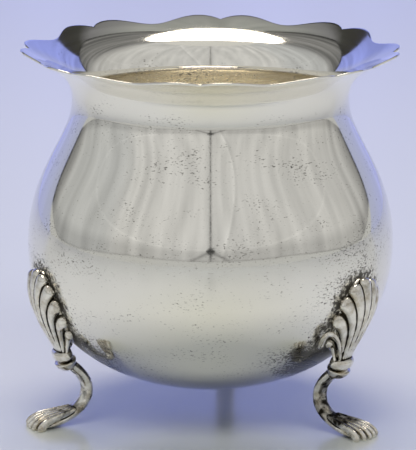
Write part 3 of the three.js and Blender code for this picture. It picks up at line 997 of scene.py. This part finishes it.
hem_line = add(
    "MapRange",
    {"Value": from_seam, "From Min": 50.0, "From Max": 90.0, "To Min": HEM_HEIGHT, "To Max": HEM_END_HEIGHT})
edge_height = add("Math", (height, EDGE_LEANS_TO), operation="MINIMUM")
side_edge = add("Math", (edge_height, -EDGE_LEAN, from_seam), operation="MULTIPLY_ADD")
past_edge = add("Math", (side_edge, EDGE_ANGLE), operation="SUBTRACT")
corner_rise = add(
    "MapRange",
    {"Value": past_edge, "From Min": -13.0, "From Max": 2.0, "To Max": CORNER_RISE}, interpolation_type="SMOOTHSTEP")
low_edge = add("Math", (hem_line, corner_rise), operation="ADD")
over_hem = add("Math", (height, low_edge), operation="SUBTRACT")
from_hem = add("Math", (over_hem,), operation="ABSOLUTE")
hem_edge = add("MapRange", {"Value": from_hem, "From Min": 0.004, "From Max": 0.014, "To Min": 0.5})
hem_strip = add("MapRange", {"Value": over_hem, "From Min": 0.1, "From Max": 0.2, "To Min": 0.9, "To Max": 1.14})
print("hem:", HEM_HEIGHT, "m over the table")

# %% Seam and knot
KNOT_HEIGHT = 0.2
KNOT_REACH = 0.05
KNOT_WIDTH = 3
SEAM_WIDTH = 0.55
KNOT_FOLD_SLOPE = 0.0105

over_knot = add("Math", (height, KNOT_HEIGHT), operation="SUBTRACT")
from_knot = add("Math", (over_knot,), operation="ABSOLUTE")
seam_width = add("MapRange", {"Value": from_knot, "From Max": KNOT_REACH, "To Min": KNOT_WIDTH, "To Max": SEAM_WIDTH})
off_seam = add("Math", (from_seam, seam_width), operation="GREATER_THAN")
seam_light = add("MapRange", {"Value": off_seam, "To Min": 0.14})
knot_fold = add("Math", (from_seam, KNOT_FOLD_SLOPE, over_knot), operation="MULTIPLY_ADD")
from_fold = add("Math", (knot_fold,), operation="ABSOLUTE")
fold_light = add("MapRange", {"Value": from_fold, "From Min": 0.004, "From Max": 0.03, "To Min": 0.5})
print("knot:", KNOT_HEIGHT, "m over the table")

# %% Side edges, hoop and drape
HOOP_HEIGHT = 0.22
HOOP_RISE = 0.45
HOOP_ANGLE = 100
DRAPE_END = 131
DRAPE_LEAN = 7

from_edge = add("Math", (past_edge,), operation="ABSOLUTE")
edge_shade = add("MapRange", {"Value": from_edge, "From Max": 18.0, "To Min": 0.74})
edge_light = add(
    "MapRange", {"Value": from_edge, "From Min": 1.0, "From Max": 2.6, "To Min": 0.12, "To Max": edge_shade})
hoop_turn = add("Math", (from_seam, HOOP_ANGLE), operation="DIVIDE")
hoop_rise = add("Math", (hoop_turn, 3.0), operation="POWER")
hoop_height = add("Math", (hoop_rise, HOOP_RISE, HOOP_HEIGHT), operation="MULTIPLY_ADD")
over_hoop = add("Math", (height, hoop_height), operation="SUBTRACT")
from_hoop = add("Math", (over_hoop,), operation="ABSOLUTE")
hoop_light = add("MapRange", {"Value": from_hoop, "From Min": 0.004, "From Max": 0.016, "To Min": 1.14})
pleat_scale = add("Mapping", {"Vector": fold_place, "Scale": (0.36, 0.5, 1)})
pleats = add("TexNoise", {"Vector": pleat_scale, "Scale": 1.0})
pleat_light = add("MapRange", {"Value": pleats, "From Min": 0.3, "From Max": 0.7, "To Min": 0.24, "To Max": 0.6})
drape_side = add("Math", (height, DRAPE_LEAN, from_seam), operation="MULTIPLY_ADD")
drape_share = add("MapRange", {"Value": drape_side, "From Min": EDGE_ANGLE, "From Max": DRAPE_END})
drape_light = add("Mix", {"Factor": drape_share, "A": 1.0, "B": pleat_light})
print("cloth ends at", EDGE_ANGLE, "degrees on both sides")

# %% Front of the tent
UNDER_HEM = (0.52, 0.525, 0.52, 1)

line_light = hem_edge
for light in (hem_strip, seam_light, fold_light, edge_light, hoop_light, drape_light):
    line_light = add("Math", (line_light, light), operation="MULTIPLY")
hanging = soft_folds
for light in (creases, leaning_crease, line_light):
    hanging = add("Mix", {"Factor": 1.0, "A": hanging, "B": light}, data_type="RGBA", blend_type="MULTIPLY")
is_cloth = add("Math", (over_hem, 0.0), operation="GREATER_THAN")
front = add("Mix", {"Factor": is_cloth, "A": UNDER_HEM, "B": hanging}, data_type="RGBA")
print("tent front:", len(tent_cloth.node_tree.nodes), "nodes")

# %% Open back of the tent
BACK_HEIGHT = 1.5
PALE_LAVENDER = (0.44, 0.47, 0.64, 1)

up_share = add("Math", (height, BACK_HEIGHT), operation="DIVIDE")
back = add("ValToRGB", (up_share,))
back.color_ramp.elements[0].color = (0.43, 0.47, 1.05, 1)
back.color_ramp.elements[1].color = (0.32, 0.33, 0.32, 1)
for share, shade in ((0.1, (0.43, 0.48, 1.0)), (0.22, (0.32, 0.37, 0.86)), (0.43, (0.29, 0.34, 0.8)),
                     (0.445, (0.04, 0.038, 0.035)), (0.58, (0.05, 0.05, 0.045)), (0.66, (0.2, 0.2, 0.21))):
    back.color_ramp.elements.new(share).color = (*shade, 1)
back_folds = add("MapRange", {"Value": folds, "From Min": 0.35, "From Max": 0.65, "To Min": 0.82, "To Max": 1.18})
open_back = add("Mix", {"Factor": 1.0, "A": back, "B": back_folds}, data_type="RGBA", blend_type="MULTIPLY")
near_edge = add("MapRange", {"Value": past_edge, "From Max": 75.0, "To Min": 1.0, "To Max": 0.0})
low_down = add("MapRange", {"Value": height, "From Min": 0.25, "From Max": 0.4, "To Min": 1.0, "To Max": 0.0})
pale_share = add("Math", (near_edge, low_down), operation="MULTIPLY")
pale_back = add("Mix", {"Factor": pale_share, "A": open_back, "B": PALE_LAVENDER}, data_type="RGBA")
is_back = add("Math", (past_edge, 0.0), operation="GREATER_THAN")
wall_light = add("Mix", {"Factor": is_back, "A": front, "B": pale_back}, data_type="RGBA")
cloth_glow = add("Emission", (wall_light, 1.0))
add("OutputMaterial", (cloth_glow,))
tent_wall.data.materials.append(tent_cloth)
print("whole wall:", len(tent_cloth.node_tree.nodes), "nodes")

# %% Tent ceiling
ceiling_shape = bmesh.new()
bmesh.ops.create_circle(ceiling_shape, cap_ends=True, segments=96, radius=TENT_RADIUS,
                        matrix=Matrix.Translation((0, 0, TENT_HEIGHT)))
tent_ceiling = to_object("tent_ceiling", ceiling_shape)

ceiling_cloth = new_material("ceiling_cloth")
add = partial(add_node, ceiling_cloth)
where = add("TexCoord").outputs["Object"]
turned = add("Mapping", {"Vector": where, "Rotation": (0, 0, -CAMERA_TURN)})
to_back = add("SeparateXYZ", (turned,)).outputs["Y"]
ceiling_light = add("MapRange", {"Value": to_back, "From Min": -0.1, "From Max": 0.6, "To Min": 0.66, "To Max": 0.3})
ceiling_glow = add("Emission", ((1, 0.99, 0.96, 1), ceiling_light))
add("OutputMaterial", (ceiling_glow,))
tent_ceiling.data.materials.append(ceiling_cloth)

for cloth in (tent_wall, tent_ceiling):
    cloth.visible_camera = False
    cloth.visible_diffuse = False
    cloth.visible_shadow = False
print("tent ceiling:", TENT_HEIGHT, "m up")

# %% [markdown]
# ## Lamps
# One broad oval lamp hangs over the bowl, a little behind it. It gives the soft shadow, and the rim shows it as a
# bright oval. The white cloth and the lavender sheet give light too, but a glowing wall gives a grainy picture. So
# two wide lamps give that light instead, and mirrors don't see them. The first shines down from above the cloth in
# front. The second stands behind, and its blue light runs along the table and under the bowl, so the shadow is blue.
# The sky gives an even rest, and for the camera it is the colour of the far end of the table.

# %% Lamps


def add_lamp(name, shape, width, depth, watts, shade, place):
    data = bpy.data.lights.new(name, "AREA")
    data.shape = shape
    data.size = width
    data.size_y = depth
    data.energy = watts
    data.color = shade
    lamp = bpy.data.objects.new(name, data)
    lamp.matrix_world = photo_axes @ place
    bpy.context.scene.collection.objects.link(lamp)
    print(name, watts, "W")
    return lamp


add_lamp("overhead", "ELLIPSE", 0.97, 0.56, 10.5, colour("#fff6e9")[:3], Matrix.Translation((-0.05, 0.28, 1.3)))
front_lamp = add_lamp("tent_front", "RECTANGLE", 1.6, 0.5, 7.6, (1, 1, 1),
                      Matrix.Translation((0, -0.8, 1.1)) @ Matrix.Rotation(math.radians(36), 4, "X"))
back_lamp = add_lamp("lavender_sheet", "RECTANGLE", 4, 1.5, 95, (0.22, 0.28, 1),
                     Matrix.Translation((0, 3, 0.75)) @ Matrix.Rotation(-math.pi / 2, 4, "X"))
for lamp in (front_lamp, back_lamp):
    lamp.visible_glossy = False

# %% Sky
sky = bpy.data.worlds.new("sky")
sky.use_nodes = True
sky.node_tree.nodes.clear()
add = partial(add_node, sky)
seen = add("LightPath").outputs["Is Camera Ray"]
sky_colour = add("Mix", {"Factor": seen, "A": (0.12, 0.135, 0.165, 1), "B": colour("#bcc2e6")}, data_type="RGBA")
sky_light = add("Background", (sky_colour, 1.0))
add("OutputWorld", (sky_light,))
bpy.context.scene.world = sky
print("sky:", len(sky.node_tree.nodes), "nodes")
